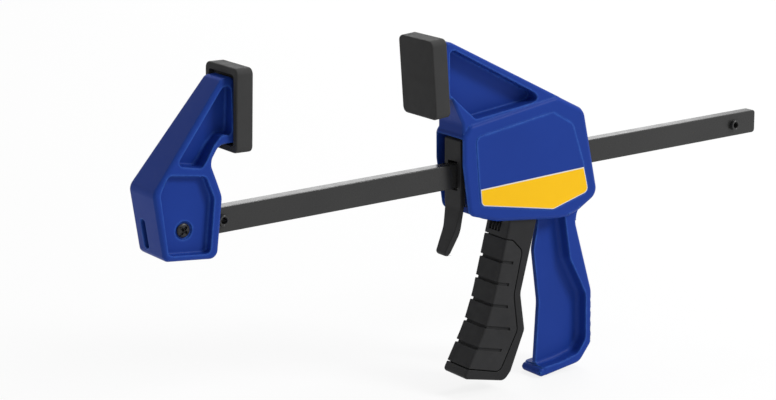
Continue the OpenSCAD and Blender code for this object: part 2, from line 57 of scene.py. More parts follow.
def shrunk(corners, distance):
    # the same outline moved inwards, with its corner radii to suit
    made = []
    for i, (x, z, radius) in enumerate(corners):
        before, after = corners[i - 1], corners[(i + 1) % len(corners)]
        a = Vector((x - before[0], z - before[1])).normalized()
        b = Vector((after[0] - x, after[1] - z)).normalized()
        inwards = Vector((-a.y - b.y, a.x + b.x)) * distance / (1 + a.dot(b))
        outer = a.x * b.y - a.y * b.x > 0
        rounded = max(radius - distance, leastCorner) if outer else radius + distance
        made.append((x + inwards.x, z + inwards.y, rounded))
    return made


def flatOutline(corners):
    bm = bmesh.new()
    points = [bm.verts.new((x, 0, z)) for x, z, radius in corners]
    bm.faces.new(points)
    for i, (x, z, radius) in enumerate(corners):
        before, after = corners[i - 1], corners[(i + 1) % len(corners)]
        a = Vector((before[0] - x, before[1] - z))
        b = Vector((after[0] - x, after[1] - z))
        turn = math.pi - a.angle(b)
        if radius > 0 and turn > 0.01:
            bmesh.ops.bevel(bm, geom=[points[i]], offset=radius * math.tan(turn / 2), offset_type="OFFSET",
                            segments=cornerSteps, profile=0.5, affect="VERTICES", clamp_overlap=False,
                            material=-1)
    return bm


def slab(corners, y0, y1, rounding=0.0, shrink=0.0, steps=3):
    # an outline given a thickness from y0 to y1, with both its rims rounded
    bm = flatOutline(shrunk(corners, shrink) if shrink else corners)
    bmesh.ops.translate(bm, verts=bm.verts, vec=(0, y0, 0))
    made = bmesh.ops.extrude_face_region(bm, geom=list(bm.faces))
    moved = [v for v in made["geom"] if isinstance(v, bmesh.types.BMVert)]
    bmesh.ops.translate(bm, verts=moved, vec=(0, y1 - y0, 0))
    bmesh.ops.recalc_face_normals(bm, faces=bm.faces)
    if rounding:
        rim = [e for e in bm.edges if abs(e.verts[0].co.y - e.verts[1].co.y) < 1e-5]
        bmesh.ops.bevel(bm, geom=rim, offset=rounding, offset_type="OFFSET", segments=steps, profile=0.5,
                        affect="EDGES", clamp_overlap=False, material=-1)
    return bm


def astride(corners, half, rounding=0.0, shrink=0.0, steps=3):
    # a slab that stands evenly on the mid plane
    return slab(corners, -half, half, rounding, shrink, steps)


def cutPlane(bm, point, normal, near, clear=False):
    return bmesh.ops.bisect_plane(bm, geom=bm.verts[:] + bm.edges[:] + bm.faces[:], dist=near, plane_co=point,
                                  plane_no=normal, clear_outer=clear)


def block(low, high):
    bm = bmesh.new()
    bmesh.ops.create_cube(bm, size=1)
    size = Vector(high) - Vector(low)
    bmesh.ops.scale(bm, vec=size, verts=bm.verts)
    bmesh.ops.translate(bm, vec=(Vector(low) + Vector(high)) / 2, verts=bm.verts)
    return bm


def lathe(profile, centre, steps=48):
    # profile is (radius, y), closed into a ring unless both its ends lie on the axis
    bm = bmesh.new()
    points = [bm.verts.new((radius, height, 0)) for radius, height in profile]
    first = 1 if profile[0][0] == profile[-1][0] == 0 else 0
    edges = [bm.edges.new((points[i - 1], points[i])) for i in range(first, len(points))]
    bmesh.ops.spin(bm, geom=points + edges, cent=(0, 0, 0), axis=(0, 1, 0), dvec=(0, 0, 0), angle=2 * math.pi,
                   steps=steps, use_merge=True)
    bmesh.ops.remove_doubles(bm, verts=bm.verts, dist=1e-4)
    bmesh.ops.dissolve_degenerate(bm, edges=bm.edges, dist=1e-4)
    bmesh.ops.recalc_face_normals(bm, faces=bm.faces)
    bmesh.ops.translate(bm, vec=centre, verts=bm.verts)
    return bm


def rod(radius, y0, y1, place, steps=48):
    # a round cutter across the clamp, at place = (x, z)
    return lathe([(0, y0), (radius, y0), (radius, y1), (0, y1)], (place[0], 0, place[1]), steps)


def turned(bm, degrees, axis):
    turn = Matrix.Rotation(math.radians(degrees), 3, axis)
    bmesh.ops.rotate(bm, cent=(0, 0, 0), matrix=turn, verts=bm.verts)
    return bm


def keep(bm, name):
    mesh = bpy.data.meshes.new(name)
    bm.to_mesh(mesh)
    bm.free()
    piece = bpy.data.objects.new(name, mesh)
    bpy.context.scene.collection.objects.link(piece)
    return piece


def carve(piece, cutters, operation="DIFFERENCE"):
    tools = [tool if isinstance(tool, bpy.types.Object) else keep(tool, "tool") for tool in cutters]
    for tool in tools:
        cut = piece.modifiers.new("carve", "BOOLEAN")
        cut.operation = operation
        cut.solver = "MANIFOLD"
        cut.object = tool
    bpy.context.view_layer.update()
    shaped = bpy.data.meshes.new_from_object(piece.evaluated_get(bpy.context.evaluated_depsgraph_get()))
    piece.modifiers.clear()
    piece.data = shaped
    for tool in tools:
        bpy.data.objects.remove(tool)
    return piece


edging = {"mergeWithin": 0.002, "sharpOver": 38, "segments": 2, "weight": 60}


def dress(piece, material, body, node, edge, at=0.0):
    # millimetres become metres, and the last sharp edges get a small bevel
    bm = bmesh.new()
    bm.from_mesh(piece.data)
    bmesh.ops.remove_doubles(bm, verts=bm.verts, dist=edging["mergeWithin"])
    bmesh.ops.dissolve_degenerate(bm, edges=bm.edges, dist=edging["mergeWithin"])
    bmesh.ops.translate(bm, vec=(at, 0, 0), verts=bm.verts)
    bmesh.ops.scale(bm, vec=(0.001, 0.001, 0.001), verts=bm.verts)
    for face in bm.faces:
        face.smooth = True
    bm.to_mesh(piece.data)
    bm.free()
    piece.data.materials.clear()
    piece.data.materials.append(material)
    if edge:
        bevel = piece.modifiers.new("edges", "BEVEL")
        bevel.width = edge * 0.001
        bevel.segments = edging["segments"]
        bevel.limit_method = "ANGLE"
        bevel.angle_limit = math.radians(edging["sharpOver"])
        bevel.use_clamp_overlap = False
    normals = piece.modifiers.new("normals", "WEIGHTED_NORMAL")
    normals.weight = edging["weight"]
    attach(piece, body)
    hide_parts(node)
    print("made", piece.name, len(piece.data.polygons))


def noise(tree, scale, detail, stretch=(1, 1, 1)):
    place = tree.nodes.new("ShaderNodeTexCoord")
    mapping = tree.nodes.new("ShaderNodeMapping")
    mapping.inputs["Scale"].default_value = stretch
    texture = tree.nodes.new("ShaderNodeTexNoise")
    texture.inputs["Scale"].default_value = scale
    texture.inputs["Detail"].default_value = detail
    tree.links.new(place.outputs["Object"], mapping.inputs["Vector"])
    tree.links.new(mapping.outputs["Vector"], texture.inputs["Vector"])
    return texture.outputs["Fac"]


def spread(tree, value, low, high, fromLow=0.3, fromHigh=0.7):
    node = tree.nodes.new("ShaderNodeMapRange")
    node.inputs["From Min"].default_value = fromLow
    node.inputs["From Max"].default_value = fromHigh
    node.inputs["To Min"].default_value = low
    node.inputs["To Max"].default_value = high
    tree.links.new(value, node.inputs["Value"])
    return node.outputs["Result"]


def combine(tree, operation, first, second):
    node = tree.nodes.new("ShaderNodeMath")
    node.operation = operation
    tree.links.new(first, node.inputs[0])
    if isinstance(second, float):
        node.inputs[1].default_value = second
    else:
        tree.links.new(second, node.inputs[1])
    return node.outputs[0]


def blendColours(tree, factor, first, second):
    node = tree.nodes.new("ShaderNodeMix")
    node.data_type = "RGBA"
    for socket, colour in ((node.inputs[6], first), (node.inputs[7], second)):
        if isinstance(colour, tuple):
            socket.default_value = (*colour, 1)
        else:
            tree.links.new(colour, socket)
    tree.links.new(factor, node.inputs[0])
    return node.outputs[2]


# finish also sets the noise that breaks up the painted edge highlight
finish = {"driftDetail": 3, "highlightPatchScale": 260, "highlightPatchDetail": 2, "leastHighlight": 0.4, "edgeTurn": (0.86, 0.985),
          "edgeSamples": 4, "glossScale": 4, "glossDetail": 4, "grainDetail": 2}


def edgeMask(tree, radius):
    # 1 along outer edges, 0 on flat faces
    bevel = tree.nodes.new("ShaderNodeBevel")
    bevel.samples = finish["edgeSamples"]
    bevel.inputs["Radius"].default_value = radius
    geometry = tree.nodes.new("ShaderNodeNewGeometry")
    dot = tree.nodes.new("ShaderNodeVectorMath")
    dot.operation = "DOT_PRODUCT"
    tree.links.new(bevel.outputs["Normal"], dot.inputs[0])
    tree.links.new(geometry.outputs["Normal"], dot.inputs[1])
    return spread(tree, dot.outputs["Value"], 1, 0, *finish["edgeTurn"])


def moulded(name, look):
    # two close colours that drift, a painted highlight that lightens the outer edges in noise patches, uneven
    # gloss and a fine grain;
    # edge is the most that the highlight colour covers, and widths and depths are in metres
    material = bpy.data.materials.new(name)
    material.use_nodes = True
    tree = material.node_tree
    shader = tree.nodes["Principled BSDF"]
    drift = spread(tree, noise(tree, look["driftScale"], finish["driftDetail"]), 0, 1)
    base = blendColours(tree, drift, look["colour"], look["shade"])
    # painted highlight: outer edges are lightened towards the highlight colour, by more in some noise patches
    # than in others
    if "edge" in look:
        most = look["edge"]
        patches = noise(tree, finish["highlightPatchScale"], finish["highlightPatchDetail"])
        highlightAmount = spread(tree, patches, most * finish["leastHighlight"], most)
        paintedHighlight = combine(tree, "MULTIPLY", edgeMask(tree, look["edgeWidth"]), highlightAmount)
        base = blendColours(tree, paintedHighlight, base, look["edgeColour"])
    tree.links.new(base, shader.inputs["Base Color"])
    gloss = noise(tree, look["driftScale"] * finish["glossScale"], finish["glossDetail"])
    tree.links.new(spread(tree, gloss, *look["rough"]), shader.inputs["Roughness"])
    grain = tree.nodes.new("ShaderNodeBump")
    grain.inputs["Distance"].default_value = look["grainDepth"]
    height = noise(tree, look["grainScale"], finish["grainDetail"], look.get("grainStretch", (1, 1, 1)))
    tree.links.new(height, grain.inputs["Height"])
    tree.links.new(grain.outputs["Normal"], shader.inputs["Normal"])
    shader.inputs["Specular IOR Level"].default_value = look["specular"]
    shader.inputs["Metallic"].default_value = look.get("metal", 0)
    return material


# the edge entries paint a lighter highlight along each material's outer edges
bluePlastic = moulded("bluePlastic", {
    "colour": (0.0145, 0.048, 0.295), "shade": (0.0135, 0.044, 0.27), "driftScale": 22, "rough": (0.33, 0.4),
    "grainScale": 2600, "grainDepth": 0.00003, "specular": 0.06,
    "edge": 0.95, "edgeWidth": 0.0018, "edgeColour": (0.047, 0.15, 0.53)})
padRubber = moulded("padRubber", {
    "colour": (0.052, 0.052, 0.052), "shade": (0.046, 0.046, 0.046), "driftScale": 60, "rough": (0.5, 0.6),
    "grainScale": 3200, "grainDepth": 0.00005, "specular": 0.05,
    "edge": 0.7, "edgeWidth": 0.0007, "edgeColour": (0.12, 0.12, 0.12)})
blackPlastic = moulded("blackPlastic", {
    "colour": (0.023, 0.023, 0.024), "shade": (0.019, 0.019, 0.02), "driftScale": 50, "rough": (0.36, 0.46),
    "grainScale": 2600, "grainDepth": 0.00005, "specular": 0.12,
    "edge": 0.35, "edgeWidth": 0.0006, "edgeColour": (0.05, 0.05, 0.052)})
softGrip = moulded("softGrip", {
    "colour": (0.034, 0.034, 0.035), "shade": (0.028, 0.028, 0.029), "driftScale": 70, "rough": (0.6, 0.74),
    "grainScale": 3600, "grainDepth": 0.00006, "specular": 0.1,
    "edge": 0.35, "edgeWidth": 0.0005, "edgeColour": (0.055, 0.055, 0.056)})
blackSteel = moulded("blackSteel", {
    "colour": (0.025, 0.025, 0.0245), "shade": (0.021, 0.021, 0.021), "driftScale": 40, "rough": (0.24, 0.32),
    "grainScale": 900, "grainStretch": (0.06, 1, 1), "grainDepth": 0.000006, "specular": 0.36,
    "edge": 0.5, "edgeWidth": 0.0005, "edgeColour": (0.12, 0.12, 0.12)})
blackScrew = moulded("blackScrew", {
    "colour": (0.016, 0.016, 0.018), "shade": (0.012, 0.012, 0.014), "driftScale": 90, "rough": (0.28, 0.4),
    "grainScale": 1500, "grainDepth": 0.00002, "specular": 0.35,
    "edge": 0.5, "edgeWidth": 0.0004, "edgeColour": (0.12, 0.12, 0.125)})
zincSteel = moulded("zincSteel", {
    "colour": (0.46, 0.46, 0.45), "shade": (0.38, 0.38, 0.38), "driftScale": 80, "rough": (0.3, 0.44),
    "grainScale": 1200, "grainDepth": 0.00002, "specular": 0.5, "metal": 1})
springWire = moulded("springWire", {
    "colour": (0.5, 0.5, 0.5), "shade": (0.42, 0.42, 0.42), "driftScale": 120, "rough": (0.22, 0.34),
    "grainScale": 2400, "grainDepth": 0.00001, "specular": 0.5, "metal": 1})
yellowFilm = moulded("yellowFilm", {
    "colour": (0.96, 0.55, 0.003), "shade": (0.93, 0.525, 0.0025), "driftScale": 45, "rough": (0.3, 0.38),
    "grainScale": 1800, "grainDepth": 0.000012, "specular": 0.15})
paleFilm = moulded("paleFilm", {
    "colour": (0.80, 0.77, 0.70), "shade": (0.74, 0.70, 0.63), "driftScale": 45, "rough": (0.3, 0.38),
    "grainScale": 1800, "grainDepth": 0.000012, "specular": 0.15})
print("materials ready")


bar = {"start": -46, "end": 318, "height": 12, "half": 3, "corner": 1.7, "rounding": 0.45, "edge": 0.12,
       "clearance": 0.15}
pin = {"at": (-11.3, 302.5), "radius": 2.6, "bore": 1.45, "half": 5, "chamfer": 0.3, "boreChamfer": 0.35,
       "gap": 0.02, "cutReach": 9}

barOutline = [(bar["start"], 0, bar["corner"]), (bar["end"], 0, bar["corner"]),
              (bar["end"], bar["height"], bar["corner"]), (bar["start"], bar["height"], bar["corner"])]
barMiddle = bar["height"] / 2


def barRoom(x0, x1, aside, above):
    # a block that clears the bar by aside at its sides, and by above over and under it
    return block((x0, -bar["half"] - aside, -above), (x1, bar["half"] + aside, bar["height"] + above))


barPiece = keep(astride(barOutline, bar["half"], bar["rounding"]), "flatBar")
carve(barPiece, [rod(pin["radius"] + pin["gap"], -pin["cutReach"], pin["cutReach"], (x, barMiddle))
                 for x in pin["at"]])
dress(barPiece, blackSteel, "clamp_bar", "bar", bar["edge"])

for x, name, node in zip(pin["at"], ("innerStopPin", "endStopPin"), ("inner_stop_pin", "end_stop_pin")):
    half, outer, inner = pin["half"], pin["radius"], pin["bore"]
    rimCut, boreCut = pin["chamfer"], pin["boreChamfer"]
    ring = [(inner + boreCut, -half), (outer - rimCut, -half), (outer, rimCut - half), (outer, half - rimCut),
            (outer - rimCut, half), (inner + boreCut, half), (inner, half - boreCut), (inner, boreCut - half)]
    stopPin = keep(lathe(ring, (x, 0, barMiddle)), name)
    dress(stopPin, blackSteel, "clamp_bar", node, 0)


jaw = {
    "half": 11.7, "rounding": 2.0, "edge": 0.4, "web": 3.0, "footPocket": 3.8, "pocketFillet": 1.0,
    "leanFrom": 25.0, "leanBlend": 4.0, "lean": 0.091, "leanSnap": 0.02,
    "outline": [(-46.1, -5.9, 3), (-18.9, -8.9, 4), (-15.4, 19, 7), (-20.1, 33.6, 4), (-19.4, 36.6, 4),
                (-15.4, 42.2, 5), (-6.1, 42.2, 2.1), (-5.1, 71.1, 2.1), (-12.2, 71.1, 3.2), (-50.4, 25.3, 5)],
    "upperPocket": [(-38.2, 36.1, 2.3), (-25.5, 33.4, 2.3), (-22.8, 36.4, 4), (-18.7, 42.5, 4),
                    (-14.2, 46.8, 3), (-8.8, 45.8, 2.2), (-7.4, 67.5, 2.2), (-11.8, 67.5, 2.6)],
    "lowerPocket": [(-43.9, -3.3, 2.4), (-23, -5.7, 2.4), (-20.1, 19, 6), (-23.9, 29.6, 2.4),
                    (-42.1, 32.5, 2.6), (-47, 25, 4.5)],
    "barEnd": -14, "screwAt": (-34, 6), "seat": 7.9, "ringRadius": 4.15, "ringDepth": 1.0,
    "screwBore": 2.25, "nutRadius": 4.2, "nutDepth": 2.6,
    "slot": [(1.3, -2.4, 1.6), (5.1, -2.4, 1.6), (5.1, 11.2, 1.6), (1.3, 11.2, 1.6)],
    "slotFrom": 38, "slotTo": 53}

jawBlank = astride(jaw["outline"], jaw["half"], jaw["rounding"], steps=4)
for step in (-2, -1, 0, 1, 2):
    cutPlane(jawBlank, (0, 0, jaw["leanFrom"] + step * jaw["leanBlend"] / 2), (0, 0, 1), jaw["leanSnap"])
for point in jawBlank.verts:    # the sides stand upright round the bar and lean in above it
    above = max(point.co.z - jaw["leanFrom"] + jaw["leanBlend"], 0)
    curved = min(above, 2 * jaw["leanBlend"])
    lean = jaw["lean"] * (curved * curved / (4 * jaw["leanBlend"]) + above - curved)
    point.co.y *= 1 - lean / jaw["half"]
jawPiece = keep(jawBlank, "fixedJaw")
ringFloor = jaw["ringDepth"] - jaw["seat"]
jawCuts = [turned(slab(jaw["slot"], jaw["slotFrom"], jaw["slotTo"]), 90, "Z")]
for side in sides:
    for pocket, floorAt in (("upperPocket", jaw["web"]), ("lowerPocket", jaw["half"] - jaw["footPocket"])):
        jawCuts.append(slab(jaw[pocket], side * floorAt, side * outside, jaw["pocketFillet"], steps=4))
jawCuts += [barRoom(bar["start"] - bar["clearance"], jaw["barEnd"], bar["clearance"], bar["clearance"]),
            rod(jaw["ringRadius"], -boreReach, ringFloor, jaw["screwAt"]),
            rod(jaw["screwBore"], -boreReach, boreReach, jaw["screwAt"]),
            rod(jaw["nutRadius"], jaw["seat"] - jaw["nutDepth"], boreReach, jaw["screwAt"], steps=6)]
carve(jawPiece, jawCuts)
dress(jawPiece, bluePlastic, "clamp_bar", "fixed_jaw", jaw["edge"])


screw = {"top": -8.2, "dome": [(0, 0), (2.2, 0.05), (3.0, 0.3), (3.35, 0.75)], "headUnder": -5.7,
         "shank": 2.1, "edge": 0.12, "coneRadius": 1.1, "coneTip": 0.5, "coneDepth": 2.2, "coneFrom": -12,
         "recess": 1.3, "recessReach": 2, "armLength": 2.1, "armHalf": 0.66, "crossTurns": (42, 132)}

screwX, screwZ = jaw["screwAt"]
headTop = screw["top"]
screwProfile = [(radius, headTop + depth) for radius, depth in screw["dome"]]
screwProfile += [(screw["shank"], screw["headUnder"]), (screw["shank"], jaw["seat"]), (0, jaw["seat"])]
screwPiece = keep(lathe(screwProfile, (screwX, 0, screwZ)), "jawScrew")
coneFloor = headTop + screw["coneDepth"]
cone = [(0, screw["coneFrom"]), (screw["coneRadius"], headTop), (screw["coneTip"], coneFloor), (0, coneFloor)]
crossCuts = [lathe(cone, (screwX, 0, screwZ), steps=16)]
for turn in screw["crossTurns"]:
    arm = turned(block((-screw["armLength"], headTop - screw["recessReach"], -screw["armHalf"]),
                       (screw["armLength"], headTop + screw["recess"], screw["armHalf"])), turn, "Y")
    bmesh.ops.translate(arm, vec=(screwX, 0, screwZ), verts=arm.verts)
    crossCuts.append(arm)
carve(screwPiece, crossCuts)
dress(screwPiece, blackScrew, "clamp_bar", "jaw_screw", screw["edge"])


pad = {"halfWidth": 13.5, "halfHeight": 19, "thickness": 8.6, "corner": 3, "rounding": 0.8, "edge": 0.25,
       "cupDepth": 3, "cupReach": 2, "cupHalfWidth": 10.5, "cupHalfHeight": 16, "cupCorner": 1.5,
       "cupFillet": 0.4}
padPlaces = (   # name, node, body, toe-in in degrees, place of its face, way it points
    ("fixedPad", "fixed_pad", "clamp_bar", 2.0, 0.0, 1),
    ("movingPad", "moving_pad", "head", 3.8, headAt, -1))


def squareCorners(halfWidth, halfHeight, corner):
    return [(-halfWidth, -halfHeight, corner), (halfWidth, -halfHeight, corner),
            (halfWidth, halfHeight, corner), (-halfWidth, halfHeight, corner)]


for name, node, body, toeIn, at, way in padPlaces:
    padOutline = squareCorners(pad["halfWidth"], pad["halfHeight"], pad["corner"])
    cupOutline = squareCorners(pad["cupHalfWidth"], pad["cupHalfHeight"], pad["cupCorner"])
    soft = keep(slab(padOutline, 0, pad["thickness"], pad["rounding"], steps=4), name)
    cupFloor = pad["thickness"] - pad["cupDepth"]
    carve(soft, [slab(cupOutline, cupFloor, pad["thickness"] + pad["cupReach"], pad["cupFillet"])])
    turn = Matrix.Rotation(math.radians(toeIn), 4, "Y") @ Matrix.Rotation(math.pi / 2, 4, "Z")
    soft.data.transform(Matrix.Translation((0, 0, padMiddle)) @ Matrix.Diagonal((way, 1, 1, 1)) @ turn)
    if way < 0:
        soft.data.flip_normals()
    dress(soft, padRubber, body, node, pad["edge"], at)


head = {
    "armHalf": 10.35, "houseHalf": 11.8, "handleHalf": 7.8, "armWeb": 3.0, "handleWeb": 1.3,
    "armEdge": 1.5, "houseEdge": 2.6, "handleEdge": 1.8, "armFillet": 0.8, "handleFillet": 2.4, "edge": 0.4,
    "arm": [(6.3, 46.4, 1.6), (13.2, 45.9, 2), (19.6, 32.5, 5), (19.6, 22, 1.6), (74, 22, 1.6),
            (88.2, 33.6, 7), (9.0, 75.2, 3.2), (9.0, 71.6, 0.4), (4.62, 71.6, 1.6)],
    "armPocket": [(11.6, 48.5, 2.2), (27, 34.4, 3), (70, 38.8, 3.2), (14.6, 69.2, 2.2), (11.6, 69.2, 1.7)],
    "house": [(22.2, -12.7, 5), (40, -18.1, 8), (78, -22.9, 4), (84.6, -22.9, 2.7), (91.4, -20.6, 3),
              (103.4, -13.9, 6), (93.8, 30.5, 7), (76.6, 39.5, 6), (22.8, 32.2, 3.4), (18.5, 26.5, 3.4),
              (18.5, 13, 10)],
    "plate": [(28.8, -8.4, 3), (73.6, -17.2, 4), (96.4, -11.4, 3), (92.6, 4, 8), (85.6, 24.5, 5),
              (73, 31.9, 3), (26, 25.8, 3)],
    "plateFace": 12.15, "plateFloor": 10.6, "plateEdge": 0.34, "plateRim": 0.72, "plateUnder": 0.25,
    "plateGap": 0.02, "recessGap": 0.04,
    "neck": [(76, -26.5, 1.5), (92.2, -26.5, 0.5), (93.0, -21.5, 6), (99.5, -16.6, 6), (99.5, -12, 1),
             (76, -12, 1)], "neckInset": 0.2,
    "handle": [(72.4, -105.3, 2.1), (96.2, -102.2, 6), (103.8, -92.8, 5), (103.3, -65, 10), (92.6, -28.5, 10),
               (91.4, -13.5, 1.9), (74, -13.5, 1.9), (72.2, -29.5, 8), (70.1, -39.5, 10), (73.8, -67.5, 20),
               (71.8, -98.5, 20)],
    "handlePocket": [(58, -101.5, 5), (84, -99.4, 20), (94.6, -97.2, 5), (99.5, -90.3, 5), (99.2, -66.5, 8),
                     (88.5, -46, 8), (84.9, -24, 8), (84.6, -8, 5), (58, -8, 5)],
    "toe": [(69.7, -105.5, 2.2), (78, -104.45, 2), (78, -100.4, 2), (69.7, -100.88, 2.2)], "toeInset": 0.03,
    "notches": 5, "notchRadius": 2.2, "notchAt": (104.9, -91.0), "notchPitch": 5.2, "notchReach": 12,
    "cavity": [(35, -9, 2), (43, -14.5, 2), (45, -29.5, 1), (80, -29.5, 1), (80, -13, 2), (78, -9, 2),
               (78, 25, 3), (35, 25, 3)], "cavityHalf": 9.4,
    "chamberX": (12, 31.5), "chamberZ": (-30, 25.5), "chamberHalf": 10.2, "barX": (16, 110),
    "pinSeatAt": (101.2, 6), "pinSeatRadius": 2.9, "pinSeatHalf": 5.6}

headPiece = keep(astride(head["house"], head["houseHalf"], head["houseEdge"], steps=5), "headBody")
armBlank = keep(astride(head["arm"], head["armHalf"], head["armEdge"], steps=4), "arm")
carve(armBlank, [slab(head["armPocket"], side * head["armWeb"], side * outside, head["armFillet"], steps=4)
                 for side in sides])

handleBlank = keep(astride(head["handle"], head["handleHalf"], head["handleEdge"], steps=4), "handle")
carve(handleBlank, [astride(head["neck"], head["handleHalf"] - head["neckInset"])], "UNION")
notchX, notchZ = head["notchAt"]
handleCuts = [rod(head["notchRadius"], -head["notchReach"], head["notchReach"],
                  (notchX, notchZ + head["notchPitch"] * i), steps=24) for i in range(head["notches"])]
for side in sides:
    floorAt = side * head["handleWeb"]
    handleCuts.append(slab(head["handlePocket"], floorAt, side * outside, head["handleFillet"], steps=5))
carve(handleBlank, handleCuts)
toeHalf = head["handleHalf"] - head["toeInset"]     # no face of it lies in a side of the handle
carve(handleBlank, [astride(head["toe"], toeHalf, head["handleEdge"], steps=5)], "UNION")

(chamberFront, chamberBack), (chamberLow, chamberTop) = head["chamberX"], head["chamberZ"]
chamber = (chamberFront, -head["chamberHalf"], chamberLow), (chamberBack, head["chamberHalf"], chamberTop)
carve(headPiece, [slab(head["plate"], side * head["plateFloor"], side * outside, 0, -head["recessGap"])
                  for side in sides])
carve(headPiece, [astride(head["cavity"], head["cavityHalf"]), block(*chamber)])
carve(headPiece, [armBlank, handleBlank], "UNION")
carve(headPiece, [block(*chamber), barRoom(*head["barX"], bar["clearance"], bar["clearance"]),
                  rod(head["pinSeatRadius"], -head["pinSeatHalf"], head["pinSeatHalf"], head["pinSeatAt"])])
dress(headPiece, bluePlastic, "head", "head_body", head["edge"], headAt)

plateFace, plateFloor = head["plateFace"], head["plateFloor"]
for side, name, node in ((-1, "leftPlate", "left_side_plate"), (1, "rightPlate", "right_side_plate")):
    plateTop, rimUnder = plateFace - head["plateUnder"], plateFace - head["plateRim"]
    plate = keep(slab(head["plate"], side * plateFloor, side * plateTop, 0, head["plateGap"]), name)
    # the rim laps over the mouth of the recess
    rim = slab(head["plate"], side * rimUnder, side * plateFace, head["plateEdge"], -head["plateEdge"])
    carve(plate, [rim], "UNION")
    dress(plate, bluePlastic, "head", node, 0, headAt)


stripe = {"front": (27.1, 0.0), "back": (93.2, 1.6), "inset": 0.35, "border": 0.38, "topBorder": 0.6,
          "thickness": 0.12, "lift": 0.04}

start, end = [Vector((x, 0, z)) for x, z in (stripe["front"], stripe["back"])]
along = (end - start).normalized()
up = Vector((-along.z, 0, along.x))
films = (   # name, inset from the plate's outline, point on its upper edge, thickness, material
    ("StripeEdge", stripe["inset"], start, stripe["thickness"], paleFilm),
    ("Stripe", stripe["inset"] + stripe["border"], start - up * stripe["topBorder"],
     stripe["thickness"] + stripe["lift"], yellowFilm))
for side, name, node in ((-1, "left", "left_stripe"), (1, "right", "right_stripe")):
    for part, inset, top, thickness, film in films:
        bm = slab(head["plate"], side * plateFace, side * (plateFace + thickness), 0, inset)
        cut = cutPlane(bm, top, up, 1e-5, clear=True)
        bmesh.ops.edgenet_fill(bm, edges=[e for e in cut["geom_cut"] if isinstance(e, bmesh.types.BMEdge)])
        bmesh.ops.recalc_face_normals(bm, faces=bm.faces)
        dress(keep(bm, name + part), film, "head", node, 0, headAt)


trigger = {
    "half": 9, "rounding": 1.0, "edge": 0.25, "wall": 3.6, "pivot": (50.5, 19), "pivotBore": 2.05,
    "pivotReach": 12,
    "outline": [(20.7, -95.5, 2), (46.2, -101.5, 4), (50.2, -97.4, 3), (58.9, -77.2, 4), (56.2, -58, 8),
                (66.3, -20.6, 1.2), (52.5, -13, 2), (52.5, -9, 1), (55.3, -7, 1.2), (55.3, 23.8, 4.7),
                (45.7, 23.8, 4.7), (45.7, -8, 6), (49.1, -20, 10), (39.1, -58, 60), (33.5, -73, 60)],
    "channel": [(14.5, -120, 1), (90.5, -120, 1), (90.5, 60, 1), (41.7, 60, 1), (41.7, -3.5, 1),
                (53.1, -3.5, 1), (53.1, -20, 10), (43.1, -58, 60), (37.5, -73, 60), (24.7, -95.5, 2)],
    "ribSlots": (-2.4, -0.1, 2.2, 4.5), "ribSlotWidth": 1.5, "ribSlotX": (30, 48.8), "ribSlotZ": (-26.2, -12)}
grip = {
    "outline": [(15.5, -88.7, 1), (23.3, -90.9, 1), (43.2, -96.4, 4), (54.3, -76.6, 4), (52.0, -58, 8),
                (57.2, -36, 4), (51.2, -29.6, 3), (42.5, -27.2, 1), (16.5, -20.6, 1)],
    "depth": 1.6, "gap": 0.55, "reach": 14, "edge": 0.2,
    "grooves": 5, "grooveAt": (30.5, -36.8), "groovePitch": 11.4, "grooveSlope": 14.5, "grooveWidth": 1.5,
    "grooveDepth": 1.4, "grooveFace": 0.85, "grooveReach": (30, 15), "fieldReach": 13, "fieldInset": 4.7}


def triggerBlank(name):
    return keep(astride(trigger["outline"], trigger["half"], trigger["rounding"]), name)


def triggerCore(depth, sideDepth):
    # the trigger's form with a skin taken off
    return astride(trigger["outline"], trigger["half"] - sideDepth, 0, depth)


sleeve = keep(astride(grip["outline"], grip["reach"]), "sleeve")
carve(sleeve, [triggerCore(grip["depth"], grip["depth"])])
(slotFront, slotBack), (slotLow, slotTop) = trigger["ribSlotX"], trigger["ribSlotZ"]
triggerCuts = [sleeve, astride(trigger["channel"], trigger["half"] - trigger["wall"]),
               rod(trigger["pivotBore"], -trigger["pivotReach"], trigger["pivotReach"], trigger["pivot"])]
triggerCuts += [block((slotFront, y, slotLow), (slotBack, y + trigger["ribSlotWidth"], slotTop))
                for y in trigger["ribSlots"]]
triggerPiece = carve(triggerBlank("triggerBody"), triggerCuts)
dress(triggerPiece, blackPlastic, "squeeze", "trigger", trigger["edge"], headAt)

gripPiece = triggerBlank("triggerGrip")
carve(gripPiece, [astride(grip["outline"], grip["reach"], 0, grip["gap"])], "INTERSECT")
grooveField = keep(astride(grip["outline"], grip["fieldReach"], 0, grip["fieldInset"]), "grooveField")
grooveX, grooveZ = grip["grooveAt"]
reachX, reachY = grip["grooveReach"]
slope = Matrix.Rotation(math.radians(grip["grooveSlope"]), 4, "Y")
grooves = None
for i in range(grip["grooves"]):
    groove = block((-reachX, -reachY, 0), (reachX, reachY, grip["grooveWidth"]))
    place = Matrix.Translation((grooveX, 0, grooveZ - grip["groovePitch"] * i))
    bmesh.ops.transform(groove, verts=groove.verts, space=Matrix.Identity(4), matrix=place @ slope)
    grooves = carve(grooves, [groove], "UNION") if grooves else keep(groove, "grooves")
carve(grooves, [grooveField], "INTERSECT")
carve(grooves, [triggerCore(grip["grooveDepth"], grip["grooveFace"])])
carve(gripPiece, [triggerCore(grip["depth"], grip["depth"]), grooves])
dress(gripPiece, softGrip, "squeeze", "trigger_grip", grip["edge"], headAt)


lever = {
    "half": 6.5, "edge": 0.5, "barX": (10, 30), "aside": 0.6, "above": 0.9, "faceReach": 40,
    "outline": [(12.2, -33, 1.85), (16, -33, 1.85), (21.8, -22, 14), (23, -10, 10), (23, 24.1, 0.5),
                (20.6, 24.1, 1), (20.6, -10, 10), (18.6, -20, 14)],
    "face": [(-3.4, -34, 3.2), (3.4, -34, 3.2), (6.8, -5, 6), (6.8, 39, 1), (-6.8, 39, 1), (-6.8, -5, 6)]}

